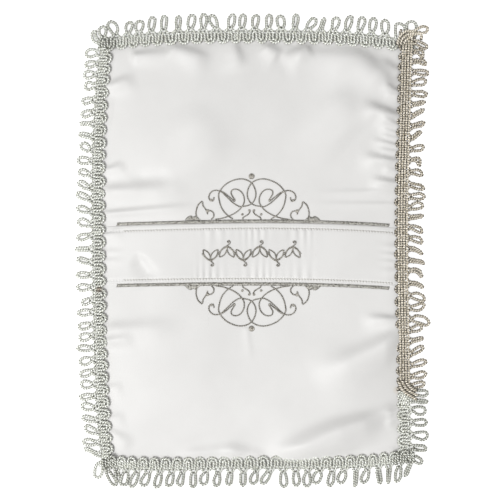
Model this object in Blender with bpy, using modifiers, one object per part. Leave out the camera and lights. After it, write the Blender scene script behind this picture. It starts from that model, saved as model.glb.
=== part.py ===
"""Afikoman cover: a flat satin pocket for a piece of matzah, edged with a looped silver braid.

It lies on its back with the long side along Y and the front up. The mouth of the pocket is on
the long side at +X, where the front stands a little open. Lengths are in metres.
"""

import math

import bmesh
import bpy
import numpy as np
from mathutils import Vector
from mathutils.bvhtree import BVHTree
from mathutils.geometry import delaunay_2d_cdt

COLLECTION = "afikoman_cover"

# Sizes of the cover, to the outer edge of the braid
HALF_WIDTH = 0.1258
HALF_LENGTH = 0.1750
EDGE_BOW = 0.0070

# Satin walls, and the room that touching pieces keep
BACK_THICKNESS = 0.0010
FRONT_THICKNESS = 0.0010
BAND_THICKNESS = 0.0010
GAP = 0.0003
BRAID_GAP = 0.0005
WELD = 0.00001

# The pocket: its height inside, how far it takes to rise, and how far the mouth gapes
POCKET_HEIGHT = 0.0076
RISE_RUN = 0.0480
MOUTH_GAPE = 0.0066

# Folds of the front: the groove of a share of 1, and the run in which folds die at the braid
FOLD_DEPTH = 0.0016
FOLD_WIDTH = 0.0064
FOLD_FADE = 0.0100
RIDGE_SHARE = 0.55
RIDGE_STEP = 1.7

# The braid that covers the seam, and its loops
BRAID_WIDTH = 0.0120
BRAID_THICKNESS = 0.0018
SEAM_COVER = 0.0035
SCALLOP_DEPTH = 0.0016
CORNER_RADIUS = 0.0070
LOOP_PITCH = 0.0098
LOOP_LENGTH = 0.0123
LOOP_WIDTH = 0.0066
LOOP_DROOP = 0.0021

# The band for the name, and the satin-stitched rail along each of its edges
BAND_WIDTH = 0.0466
BAND_CENTRE = -0.0021
BAND_SLANT = 0.0020
RAIL_WIDTH = 0.0026
RAIL_HEIGHT = 0.0012
RAIL_START = -0.850
RAIL_END = 0.865

# The embroidered scrollwork above and below the band
SCROLL_REACH = 0.0530
SCROLL_HEIGHT = 0.0346
SCROLL_THREAD = 0.0013
SCROLL_LIFT = 0.0008

# Cells of the front's surface: across, above and below the band, and over it
CELLS_ACROSS = 20
CELLS_ABOVE = 15
CELLS_OVER_BAND = 4
OUTLINE_STEPS = 18

# How far each side bows out from its straight line, in shares of EDGE_BOW, at five even stations.
# Left and right run from bottom to top, bottom and top from left to right.
STATIONS = (-1.0, -0.5, 0.0, 0.5, 1.0)
EDGE_SHARES = {
    "left": (-0.96, -0.02, 0.25, 0.18, -0.96),
    "right": (0.13, 0.04, -0.19, 0.00, 0.41),
    "bottom": (-0.50, 0.08, -0.07, -0.10, -0.95),
    "top": (-1.10, -0.07, 0.12, -0.07, -1.00),
}

# The band's centre line, in shares of BAND_SLANT, at the five stations from left to right
BAND_SHARES = (-0.75, 0.05, 0.25, -0.25, -2.15)

# Where the mouth opens, in shares of HALF_LENGTH: closed, open, open, closed
MOUTH_START, MOUTH_FULL_FROM, MOUTH_FULL_TO, MOUTH_END = -0.64, -0.36, 0.62, 0.93

# Folds in the front: ends in shares of HALF_WIDTH and HALF_LENGTH, width and depth in shares of
# FOLD_WIDTH and FOLD_DEPTH
FOLDS = (
    # start_x start_y end_x  end_y  width depth
    (-0.72, 0.90, -0.55, 0.91, 0.9, 0.6),
    (-0.47, 0.94, -0.23, 0.86, 0.9, 0.8),
    (-0.08, 0.95, -0.04, 0.84, 0.9, 0.6),
    (0.10, 0.92, 0.33, 0.93, 0.9, 0.6),
    (0.34, 0.92, 0.62, 0.88, 1.3, 0.6),
    (0.64, 0.91, 0.93, 0.77, 1.3, 1.1),
    (0.62, 0.70, 0.93, 0.62, 1.0, 1.1),
    (0.74, 0.43, 0.93, 0.42, 0.9, 0.6),
    (0.40, 0.22, 0.93, 0.22, 0.9, 0.5),
    (0.76, -0.28, 0.93, -0.30, 0.9, 0.5),
    (0.31, -0.51, 0.93, -0.36, 1.6, 0.8),
    (0.20, -0.87, 0.93, -0.71, 1.6, 1.1),
    (-0.91, 0.76, -0.70, 0.80, 1.0, 0.8),
    (-0.92, 0.37, -0.80, 0.40, 0.9, 0.6),
    (-0.91, 0.29, -0.42, 0.30, 1.3, 0.8),
    (-0.91, 0.18, -0.33, 0.20, 0.9, 0.5),
    (-0.91, -0.34, -0.48, -0.32, 1.3, 0.6),
    (-0.91, -0.42, -0.75, -0.40, 0.9, 0.6),
    (-0.77, -0.86, -0.62, -0.91, 1.0, 0.7),
    (-0.45, -0.88, 0.12, -0.90, 1.4, 0.6),
)

# The right half's strokes of the scrollwork: places in shares of SCROLL_REACH and SCROLL_HEIGHT,
# and the thickness in shares of SCROLL_LIFT
SCROLLS = {
    "curl_and_loop": (
        1.00,
        (
            (0.60, 0.41), (0.66, 0.50), (0.59, 0.63), (0.51, 0.63), (0.36, 0.46),
            (0.18, 0.28), (0.03, 0.32), (-0.06, 0.49), (-0.05, 0.69), (0.06, 0.85),
        ),
    ),
    "arch": (
        0.95,
        ((0.05, 0.84), (0.17, 0.88), (0.31, 0.84), (0.47, 0.65), (0.50, 0.41), (0.35, 0.06)),
    ),
    "inner_curl": (
        0.90,
        (
            (0.60, 0.00), (0.35, 0.07), (0.16, 0.25), (0.12, 0.45), (0.20, 0.64),
            (0.31, 0.63), (0.26, 0.42),
        ),
    ),
    "leaf": (
        0.80,
        (
            (0.84, 0.00), (0.86, 0.14), (0.82, 0.33), (0.76, 0.40), (0.75, 0.30),
            (0.68, 0.12), (0.60, 0.17), (0.59, -0.01),
        ),
    ),
}

# How far each loop in turn leans along the braid, in shares of LOOP_WIDTH
LOOP_LEANS = (0.10, -0.22, 0.28, 0.05, -0.12, 0.32, -0.28, 0.16, -0.05)

# One loop's outer outline and its open eye: shares of LOOP_WIDTH across and LOOP_LENGTH out
LOOP_OUTLINE = (
    (-0.24, 0.00),
    (-0.42, 0.42),
    (-0.44, 0.82),
    (0.00, 1.00),
    (0.44, 0.82),
    (0.42, 0.42),
    (0.24, 0.00),
)
LOOP_EYE = ((0.00, 0.20), (-0.17, 0.74), (0.17, 0.74))

# One scallop of the braid's inner edge: share of the pitch along, share of SCALLOP_DEPTH in
SCALLOP = ((0.00, 0.0), (0.28, 1.0), (0.72, 1.0))

# At each end of the long sides' braid, one loop stands on the end, at a share of its width from
# the satin, and one stands slantwise on the corner
END_LOOP_PLACE = 0.70
CORNER_LOOP_TURN = math.radians(45.0)

# How a loop sinks towards its tip: the power of its share of the way out
DROOP_POWER = 1.5

# Rounds that settle the point where two bowed lines cross
CROSSING_ROUNDS = 8

# Finishes: base colour, roughness, metallic
WHITE_SATIN = ("white_satin", (0.86, 0.86, 0.85, 1.0), 0.38, 0.0)
SILVER_BRAID = ("silver_braid", (0.52, 0.51, 0.47, 1.0), 0.42, 0.55)
SILVER_BRAID_REVERSE = ("silver_braid_reverse", (0.44, 0.42, 0.35, 1.0), 0.48, 0.45)
SILVER_THREAD = ("silver_thread", (0.30, 0.29, 0.27, 1.0), 0.45, 0.50)

EDGE_CURVES = {side: np.polyfit(STATIONS, shares, 4) for side, shares in EDGE_SHARES.items()}
BAND_CURVE = np.polyfit(STATIONS, BAND_SHARES, 4)

# Mirrored strokes are a little thinner, so that crossing strokes don't meet edge on edge
MIRROR_THICKNESS = 0.93

# Where the short sides' braids end, in from the edge of the long sides' braids
BUTT_INSET = BRAID_WIDTH - SCALLOP_DEPTH + GAP


def smoothstep(value):
    """0 below 0, 1 above 1 and a smooth rise between."""
    value = min(max(value, 0.0), 1.0)
    return value * value * (3.0 - 2.0 * value)


def edge(side, along, inset=0.0):
    """Distance from the centre to one side of the cover, at a place along that side."""
    upright = side in ("left", "right")
    half_run = HALF_LENGTH if upright else HALF_WIDTH
    half_reach = HALF_WIDTH if upright else HALF_LENGTH
    share = min(max(along / half_run, -1.0), 1.0)
    return half_reach + EDGE_BOW * float(np.polyval(EDGE_CURVES[side], share)) - inset


def band_line(x, offset):
    """Y of a line that runs beside the band's centre line."""
    share = min(max(x / HALF_WIDTH, -1.0), 1.0)
    return BAND_CENTRE + BAND_SLANT * float(np.polyval(BAND_CURVE, share)) + offset


def pocket_rise(x, y):
    """Height inside the pocket before the folds: nothing at the closed sides, a gape at the mouth."""
    rise = {
        "left": smoothstep((edge("left", y, BRAID_WIDTH) + x) / RISE_RUN),
        "right": smoothstep((edge("right", y, BRAID_WIDTH) - x) / RISE_RUN),
        "bottom": smoothstep((edge("bottom", x, BRAID_WIDTH) + y) / RISE_RUN),
        "top": smoothstep((edge("top", x, BRAID_WIDTH) - y) / RISE_RUN),
    }
    share = y / HALF_LENGTH
    opening = smoothstep((share - MOUTH_START) / (MOUTH_FULL_FROM - MOUTH_START))
    opening *= smoothstep((MOUTH_END - share) / (MOUTH_END - MOUTH_FULL_TO))
    gape = opening * MOUTH_GAPE / POCKET_HEIGHT
    right = gape + (1.0 - gape) * rise["right"]
    return POCKET_HEIGHT * rise["left"] * rise["bottom"] * rise["top"] * right


def fold_relief(x, y):
    """Grooves of the folds, each between two low ridges, which die out under the braid."""
    relief = 0.0
    for start_x, start_y, end_x, end_y, width, depth in FOLDS:
        start = Vector((start_x * HALF_WIDTH, start_y * HALF_LENGTH))
        run = Vector((end_x * HALF_WIDTH, end_y * HALF_LENGTH)) - start
        place = Vector((x, y)) - start
        along = place.dot(run) / run.length_squared
        nearest = start + run * min(max(along, 0.0), 1.0)
        away = (Vector((x, y)) - nearest).length / (width * FOLD_WIDTH)
        groove = math.exp(-away * away)
        ridge = math.exp(-((away - RIDGE_STEP) ** 2))
        relief += depth * FOLD_DEPTH * (RIDGE_SHARE * ridge - groove)
    margin = min(
        edge("left", y, BRAID_WIDTH) + x,
        edge("right", y, BRAID_WIDTH) - x,
        edge("bottom", x, BRAID_WIDTH) + y,
        edge("top", x, BRAID_WIDTH) - y,
    )
    return relief * smoothstep(margin / FOLD_FADE)


def front_underside(x, y):
    """Z of the inner face of the front."""
    return BACK_THICKNESS + GAP + max(pocket_rise(x, y) + fold_relief(x, y), 0.0)


def braid_seat(x, y):
    """Z of the braid's underside, over the smooth edge of the front."""
    return BACK_THICKNESS + GAP + pocket_rise(x, y) + FRONT_THICKNESS + BRAID_GAP


def lines_between(lines, cells):
    """Lines that divide the room between neighbouring lines into so many cells."""
    divided = []
    for first, last, count in zip(lines, lines[1:], cells):
        for step in range(count):
            divided.append((first, last, step / count))
    divided.append((lines[-1], lines[-1], 0.0))
    return divided


def on_line(line, place):
    first, last, share = line
    return first(place) * (1.0 - share) + last(place) * share


def crossing(column, row):
    """Point where a line up the cover meets a line across it."""
    x = y = 0.0
    for _ in range(CROSSING_ROUNDS):
        x = on_line(column, y)
        y = on_line(row, x)
    return x, y


def columns(inset, cells):
    """Lines up the cover, from the left edge of the satin to the right."""
    lines = (
        lambda y: -edge("left", y, SEAM_COVER),
        lambda y: -edge("left", y, inset),
        lambda y: edge("right", y, inset),
        lambda y: edge("right", y, SEAM_COVER),
    )
    return lines_between(lines, (1, cells, 1))


def rows(inset):
    """Lines across the cover, from the lower edge of the satin to the upper."""
    half_band = BAND_WIDTH / 2.0
    beside = half_band + 2.0 * GAP + RAIL_WIDTH
    lines = (
        lambda x: -edge("bottom", x, SEAM_COVER),
        lambda x: -edge("bottom", x, inset),
        lambda x: band_line(x, -beside),
        lambda x: band_line(x, -half_band),
        lambda x: band_line(x, half_band),
        lambda x: band_line(x, beside),
        lambda x: edge("top", x, inset),
        lambda x: edge("top", x, SEAM_COVER),
    )
    return lines_between(lines, (1, CELLS_ABOVE, 1, CELLS_OVER_BAND, 1, CELLS_ABOVE, 1))


def clear_scene():
    for old in list(bpy.data.objects):
        bpy.data.objects.remove(old, do_unlink=True)


def material(finish):
    name, colour, roughness, metallic = finish
    made = bpy.data.materials.get(name)
    if made is None:
        made = bpy.data.materials.new(name)
        made.use_nodes = True
        shader = made.node_tree.nodes["Principled BSDF"]
        shader.inputs["Base Color"].default_value = colour
        shader.inputs["Roughness"].default_value = roughness
        shader.inputs["Metallic"].default_value = metallic
    return made


def add_object(name, mesh, collection, finish):
    made = bpy.data.objects.new(name, mesh)
    collection.objects.link(made)
    mesh.materials.append(material(finish))
    return made


def sheet(name, column_lines, row_lines, height, thickness, collection, finish):
    """A satin wall: a grid laid on the lines, raised to its height and thickened upwards."""
    mesh = bpy.data.meshes.new(name)
    grid = bmesh.new()
    across, up = len(column_lines) - 1, len(row_lines) - 1
    bmesh.ops.create_grid(grid, x_segments=across, y_segments=up, size=0.5)
    for vertex in grid.verts:
        column = column_lines[round((vertex.co.x + 0.5) * across)]
        row = row_lines[round((vertex.co.y + 0.5) * up)]
        x, y = crossing(column, row)
        vertex.co = (x, y, height(x, y))
    bmesh.ops.triangulate(grid, faces=grid.faces, quad_method="FIXED")
    grid.to_mesh(mesh)
    grid.free()
    made = add_object(name, mesh, collection, finish)
    wall = made.modifiers.new("wall", "SOLIDIFY")
    wall.thickness = thickness
    wall.offset = 1.0
    return made


def top_of(laid_on):
    """A function that gives the height of an object's upper face."""
    bpy.context.view_layer.update()
    graph = bpy.context.evaluated_depsgraph_get()
    tree = BVHTree.FromObject(laid_on, graph)
    above = 2.0 * HALF_LENGTH

    def height(x, y):
        hit = tree.ray_cast(Vector((x, y, above)), Vector((0.0, 0.0, -1.0)))
        return hit[0].z

    return height


def mesh_of_curve(name, curve):
    """The closed mesh of a curve, with its caps welded on."""
    source = bpy.data.objects.new(name + "_curve", curve)
    bpy.context.scene.collection.objects.link(source)
    bpy.context.view_layer.update()
    graph = bpy.context.evaluated_depsgraph_get()
    mesh = bpy.data.meshes.new_from_object(source.evaluated_get(graph))
    bpy.data.objects.remove(source, do_unlink=True)
    bpy.data.curves.remove(curve)
    mesh.materials.clear()
    mesh.name = name
    work = bmesh.new()
    work.from_mesh(mesh)
    bmesh.ops.remove_doubles(work, verts=work.verts, dist=WELD)
    bmesh.ops.recalc_face_normals(work, faces=work.faces)
    work.to_mesh(mesh)
    work.free()
    return mesh


def plate(name, outline, thickness):
    """A flat plate from its outline, standing on z = 0."""
    curve = bpy.data.curves.new(name, "CURVE")
    curve.dimensions = "2D"
    curve.fill_mode = "BOTH"
    curve.extrude = thickness / 2.0
    spline = curve.splines.new("POLY")
    spline.points.add(len(outline) - 1)
    for point, (x, y) in zip(spline.points, outline):
        point.co = (x, y, 0.0, 1.0)
    spline.use_cyclic_u = True
    mesh = mesh_of_curve(name, curve)
    for vertex in mesh.vertices:
        vertex.co.z += thickness / 2.0
    return mesh


def pierced_strip(outline, eyes, thickness):
    """A flat strip with its eyes cut through, in short triangles, so that it can be bent."""
    points, loops = [], []
    for ring in [outline] + eyes:
        loops.append(list(range(len(points), len(points) + len(ring))))
        points.extend(reversed(ring))
    places, _, faces, _, _, origins = delaunay_2d_cdt(points, [], loops, 1, WELD)
    work = bmesh.new()
    corners = [work.verts.new((place.x, place.y, 0.0)) for place in places]
    for face, origin in zip(faces, origins):
        if origin == [0]:
            work.faces.new([corners[number] for number in face])
    lifted = bmesh.ops.extrude_face_region(work, geom=list(work.faces))["geom"]
    upper = [item for item in lifted if isinstance(item, bmesh.types.BMVert)]
    bmesh.ops.translate(work, vec=(0.0, 0.0, thickness), verts=upper)
    return work


def back_panel(collection):
    """The flat back, cut to the same outline as the front."""
    column_lines = columns(BRAID_WIDTH, OUTLINE_STEPS)
    row_lines = lines_between(
        (
            lambda x: -edge("bottom", x, SEAM_COVER),
            lambda x: edge("top", x, SEAM_COVER),
        ),
        (OUTLINE_STEPS,),
    )
    lower = [crossing(column, row_lines[0]) for column in column_lines]
    right = [crossing(column_lines[-1], row) for row in row_lines[1:]]
    upper = [crossing(column, row_lines[-1]) for column in column_lines[-2::-1]]
    left = [crossing(column_lines[0], row) for row in row_lines[-2:0:-1]]
    mesh = plate("back_panel", lower + right + upper + left, BACK_THICKNESS)
    return add_object("back_panel", mesh, collection, WHITE_SATIN)


def front_panel(collection):
    """The front, which rises over the pocket and stands open at the mouth."""
    return sheet(
        "front_panel",
        columns(BRAID_WIDTH, CELLS_ACROSS),
        rows(BRAID_WIDTH),
        front_underside,
        FRONT_THICKNESS,
        collection,
        WHITE_SATIN,
    )


def name_band(collection, front_top):
    """The turned strip across the front, on the same cells as the front under it."""
    row_lines = rows(BRAID_WIDTH)
    first = 1 + CELLS_ABOVE + 1
    band_rows = row_lines[first : first + CELLS_OVER_BAND + 1]
    column_lines = lines_between(
        (
            lambda y: -edge("left", y, BRAID_WIDTH + GAP),
            lambda y: edge("right", y, BRAID_WIDTH + GAP),
        ),
        (CELLS_ACROSS,),
    )
    return sheet(
        "name_band",
        column_lines,
        band_rows,
        lambda x, y: front_top(x, y) + GAP,
        BAND_THICKNESS,
        collection,
        WHITE_SATIN,
    )


def rail(name, side, collection, front_top):
    """A raised line of satin stitch along one edge of the band."""
    offset = side * (BAND_WIDTH / 2.0 + GAP + RAIL_WIDTH / 2.0)
    inner = lines_between(
        (
            lambda y: -edge("left", y, BRAID_WIDTH),
            lambda y: edge("right", y, BRAID_WIDTH),
        ),
        (CELLS_ACROSS,),
    )
    row = (lambda x: band_line(x, offset),) * 2 + (0.0,)
    stations = [crossing(column, row)[0] for column in inner]
    low, high = RAIL_START * HALF_WIDTH, RAIL_END * HALF_WIDTH
    stations = [low] + [x for x in stations if low < x < high] + [high]
    mesh = tube(name, [(x, band_line(x, offset)) for x in stations], RAIL_WIDTH)
    lay_on_front(mesh, front_top, RAIL_HEIGHT)
    return add_object(name, mesh, collection, SILVER_THREAD)


def tube(name, places, width):
    """A four-sided tube through the places, with its middle on z = 0."""
    curve = bpy.data.curves.new(name, "CURVE")
    curve.dimensions = "3D"
    curve.bevel_depth = width / 2.0
    curve.bevel_resolution = 0
    curve.use_fill_caps = True
    spline = curve.splines.new("POLY")
    spline.points.add(len(places) - 1)
    for point, (x, y) in zip(spline.points, places):
        point.co = (x, y, 0.0, 1.0)
    return mesh_of_curve(name, curve)


def lay_on_front(mesh, front_top, height):
    """Flatten a mesh to a height and let it follow the front's upper face."""
    lowest = min(vertex.co.z for vertex in mesh.vertices)
    highest = max(vertex.co.z for vertex in mesh.vertices)
    flatten = height / (highest - lowest)
    for vertex in mesh.vertices:
        seat = front_top(vertex.co.x, vertex.co.y) + GAP
        vertex.co.z = seat + (vertex.co.z - lowest) * flatten


def scroll_strokes(side):
    """A tube for each stroke of the scrollwork on one side of the band, and for its mirror image."""
    offset = BAND_WIDTH / 2.0 + 2.0 * GAP + RAIL_WIDTH + SCROLL_THREAD / 2.0
    for stroke, (thickness, points) in SCROLLS.items():
        for mirror, mirror_thickness in ((1.0, 1.0), (-1.0, MIRROR_THICKNESS)):
            places = []
            for across, up in points:
                x = mirror * across * SCROLL_REACH
                places.append((x, band_line(x, side * (offset + up * SCROLL_HEIGHT))))
            mesh = tube(stroke, places, SCROLL_THREAD)
            for vertex in mesh.vertices:
                vertex.co.z *= thickness * mirror_thickness
            yield mesh


def scrollwork(name, side, collection, front_top):
    """The scrolls on one side of the band, their crossing strokes joined into one solid."""
    strokes = []
    for mesh in scroll_strokes(side):
        stroke = bpy.data.objects.new(name + "_stroke", mesh)
        bpy.context.scene.collection.objects.link(stroke)
        strokes.append(stroke)
    for crossed in strokes[1:]:
        union = strokes[0].modifiers.new("union", "BOOLEAN")
        union.operation = "UNION"
        union.solver = "MANIFOLD"
        union.object = crossed
    bpy.context.view_layer.update()
    graph = bpy.context.evaluated_depsgraph_get()
    mesh = bpy.data.meshes.new_from_object(strokes[0].evaluated_get(graph))
    mesh.name = name
    for stroke in strokes:
        bpy.data.objects.remove(stroke, do_unlink=True)
    lay_on_front(mesh, front_top, SCROLL_LIFT)
    return add_object(name, mesh, collection, SILVER_THREAD)


def loop_outline(root, out, lean, shape):
    """Points of a loop whose foot is at root and which stands along the direction out."""
    aside = Vector((out.y, -out.x))
    points = []
    for across, away in shape:
        place = across + lean * away
        points.append(root + aside * (place * LOOP_WIDTH) + out * (away * LOOP_LENGTH))
    return points


def even_places(start, end, pitch):
    """Middles of as many even steps of about one pitch as fit between two places."""
    count = max(round((end - start) / pitch), 1)
    step = (end - start) / count
    return [start + step * (number + 0.5) for number in range(count)], step


def braid_outlines(start, end, corners):
    """Outline of one side's braid with its loops, as places along and out, and each loop's eye.

    With corners, the braid's ends carry loops of their own. Without, they are cut straight to
    meet the braid beside them.
    """
    outer, eyes = [], []

    def add_loop(root, out, number):
        lean = LOOP_LEANS[number % len(LOOP_LEANS)]
        outer.extend(loop_outline(root, out, lean, LOOP_OUTLINE))
        eyes.append(loop_outline(root, out, lean, LOOP_EYE))

    square = BRAID_WIDTH - SCALLOP_DEPTH
    end_foot = -square * END_LOOP_PLACE
    corner_cut = CORNER_RADIUS * (1.0 - math.sqrt(0.5))
    across, up = math.cos(CORNER_LOOP_TURN), math.sin(CORNER_LOOP_TURN)
    outer.append(Vector((start, -square)))
    if corners:
        add_loop(Vector((start, end_foot)), Vector((-1.0, 0.0)), 1)
        add_loop(Vector((start + corner_cut, -corner_cut)), Vector((-across, up)), 0)
    else:
        outer.append(Vector((start, 0.0)))
    rounding = CORNER_RADIUS if corners else 0.0
    places, _ = even_places(start + rounding, end - rounding, LOOP_PITCH)
    for number, place in enumerate(places):
        add_loop(Vector((place, 0.0)), Vector((0.0, 1.0)), number)
    if corners:
        add_loop(Vector((end - corner_cut, -corner_cut)), Vector((across, up)), 3)
        add_loop(Vector((end, end_foot)), Vector((1.0, 0.0)), 4)
    else:
        outer.append(Vector((end, 0.0)))
    outer.append(Vector((end, -square)))
    straight = BRAID_WIDTH if corners else 0.0
    middles, step = even_places(start + straight, end - straight, LOOP_PITCH)
    for middle in reversed(middles):
        for along, depth in SCALLOP:
            place = middle + step * (0.5 - along)
            if place < end:
                outer.append(Vector((place, -square - depth * SCALLOP_DEPTH)))
    if corners:
        outer.append(Vector((start + straight, -square)))
    return outer, eyes


def braid_side(name, side, start, end, corners, collection, finish):
    """The braid along one side, bent to the side's bow and let down over the edge."""
    outline, eyes = braid_outlines(start, end, corners)
    work = pierced_strip(outline, eyes, BRAID_THICKNESS)
    for vertex in work.verts:
        along, out, lift = vertex.co
        reach = edge(side, along) + out
        if side in ("left", "right"):
            x, y = reach, along
            if side == "left":
                x = -x
        else:
            y = -reach if side == "bottom" else reach
            share = (along - start) / (end - start)
            x = (1.0 - share) * -edge("left", y, BUTT_INSET) + share * edge("right", y, BUTT_INSET)
        past_end = max(start - along, along - end, 0.0) if corners else 0.0
        past_edge = min(math.hypot(max(out, 0.0), past_end) / LOOP_LENGTH, 1.0)
        droop = LOOP_DROOP * past_edge**DROOP_POWER
        vertex.co = (x, y, braid_seat(x, y) - droop + lift)
    bmesh.ops.recalc_face_normals(work, faces=work.faces)
    if work.calc_volume(signed=True) < 0.0:
        bmesh.ops.reverse_faces(work, faces=work.faces)
    mesh = bpy.data.meshes.new(name)
    work.to_mesh(mesh)
    work.free()
    return add_object(name, mesh, collection, finish)


def braids(collection):
    """Four lengths of braid: the long sides carry the corners, the short sides lie between."""
    for side, finish in (("left", SILVER_BRAID), ("right", SILVER_BRAID_REVERSE)):
        sign = -1.0 if side == "left" else 1.0
        corner_x = sign * (HALF_WIDTH - BRAID_WIDTH / 2.0)
        low = -edge("bottom", corner_x)
        high = edge("top", corner_x)
        braid_side("trim_" + side, side, low, high, True, collection, finish)
    for side in ("bottom", "top"):
        sign = -1.0 if side == "bottom" else 1.0
        corner_y = sign * (HALF_LENGTH - BRAID_WIDTH / 2.0)
        low = -edge("left", corner_y, BUTT_INSET)
        high = edge("right", corner_y, BUTT_INSET)
        braid_side("trim_" + side, side, low, high, False, collection, SILVER_BRAID)


def build():
    clear_scene()
    collection = bpy.data.collections.new(COLLECTION)
    bpy.context.scene.collection.children.link(collection)
    back_panel(collection)
    front = front_panel(collection)
    front_top = top_of(front)
    name_band(collection, front_top)
    rail("upper_rail", 1.0, collection, front_top)
    rail("lower_rail", -1.0, collection, front_top)
    scrollwork("upper_scrollwork", 1.0, collection, front_top)
    scrollwork("lower_scrollwork", -1.0, collection, front_top)
    braids(collection)


build()
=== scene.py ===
"""Looks of the satin afikoman cover: its cloth, its embroidery and its looped silver braid.

The cover lies on its back with the long side along Y and the front up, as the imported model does.
Lengths are in metres, and tables that say so are in millimetres.
"""

import math

import bpy
import mathutils
import numpy as np
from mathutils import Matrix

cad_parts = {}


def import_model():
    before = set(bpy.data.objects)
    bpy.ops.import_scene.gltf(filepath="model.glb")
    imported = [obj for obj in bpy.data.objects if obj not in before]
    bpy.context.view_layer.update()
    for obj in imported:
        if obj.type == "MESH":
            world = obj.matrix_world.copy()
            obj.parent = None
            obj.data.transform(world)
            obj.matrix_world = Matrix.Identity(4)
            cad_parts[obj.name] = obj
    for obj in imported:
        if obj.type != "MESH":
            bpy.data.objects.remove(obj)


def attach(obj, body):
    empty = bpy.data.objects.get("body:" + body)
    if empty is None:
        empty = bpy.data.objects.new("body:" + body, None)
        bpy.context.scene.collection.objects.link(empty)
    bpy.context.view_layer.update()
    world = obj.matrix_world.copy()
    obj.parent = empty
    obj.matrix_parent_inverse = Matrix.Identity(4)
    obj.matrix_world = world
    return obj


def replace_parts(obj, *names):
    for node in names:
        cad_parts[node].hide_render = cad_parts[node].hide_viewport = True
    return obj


MM = 0.001
BODY = "root"

# The cover's driving sizes, as in the model
HALF_WIDTH = 0.1258
HALF_LENGTH = 0.175
EDGE_BOW = 0.007
BACK_THICKNESS = 0.001
FRONT_THICKNESS = 0.001
BAND_THICKNESS = 0.001
GAP = 0.0003
BRAID_GAP = 0.0005
POCKET_HEIGHT = 0.0076
SOFT_RUN = 0.085
SOFT_POWER = 2.4
MOUTH_GAPE = 0.0066
FOLD_FADE = 0.01
BRAID_WIDTH = 0.012
SEAM_COVER = 0.0035
LOOP_LENGTH = 0.0123
LOOP_DROOP = 0.0021
DROOP_POWER, DROOP_END = 1.5, 1.2
BAND_WIDTH = 0.0466
BAND_CENTRE = -0.0021
BAND_SLANT = 0.002
RAIL_WIDTH = 0.0026
RAIL_HEIGHT = 0.0012
RAIL_START = -0.85
RAIL_END = 0.865
SCROLL_REACH = 0.053
SCROLL_HEIGHT = 0.036
LEFT_SCROLL = 0.967
MOUTH_START, MOUTH_FULL_FROM, MOUTH_FULL_TO, MOUTH_END = -0.64, -0.36, 0.62, 0.93
CROSSING_ROUNDS = 8

STATIONS = (-1, -0.5, 0, 0.5, 1)
EDGE_SHARES = {
    "left": (-0.96, -0.02, 0.25, 0.18, -0.96),
    "right": (0.13, 0.04, -0.19, 0, 0.41),
    "bottom": (-0.5, 0.08, -0.07, -0.1, -0.95),
    "top": (-1.1, -0.07, 0.12, -0.07, -1),
}
BAND_SHARES = (-0.75, 0.05, 0.25, -0.25, -2.15)
EDGE_CURVES = {side: np.polyfit(STATIONS, shares, 4) for side, shares in EDGE_SHARES.items()}
BAND_CURVE = np.polyfit(STATIONS, BAND_SHARES, 4)

# Cells of the satin's fine faces, and how many of them one cell of the inner face spans
FRONT_CELLS = (188, 400)
BAND_CELLS = (352, 72)
BACK_CELLS = (64, 88)
# The back's slight swells: mean and height in shares of its thickness, and run along x and y
BACK_SWELL = (0.85, 0.1, 0.017, 0.023)
INNER_STEP = 4
CLOTH = 0.0006

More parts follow.
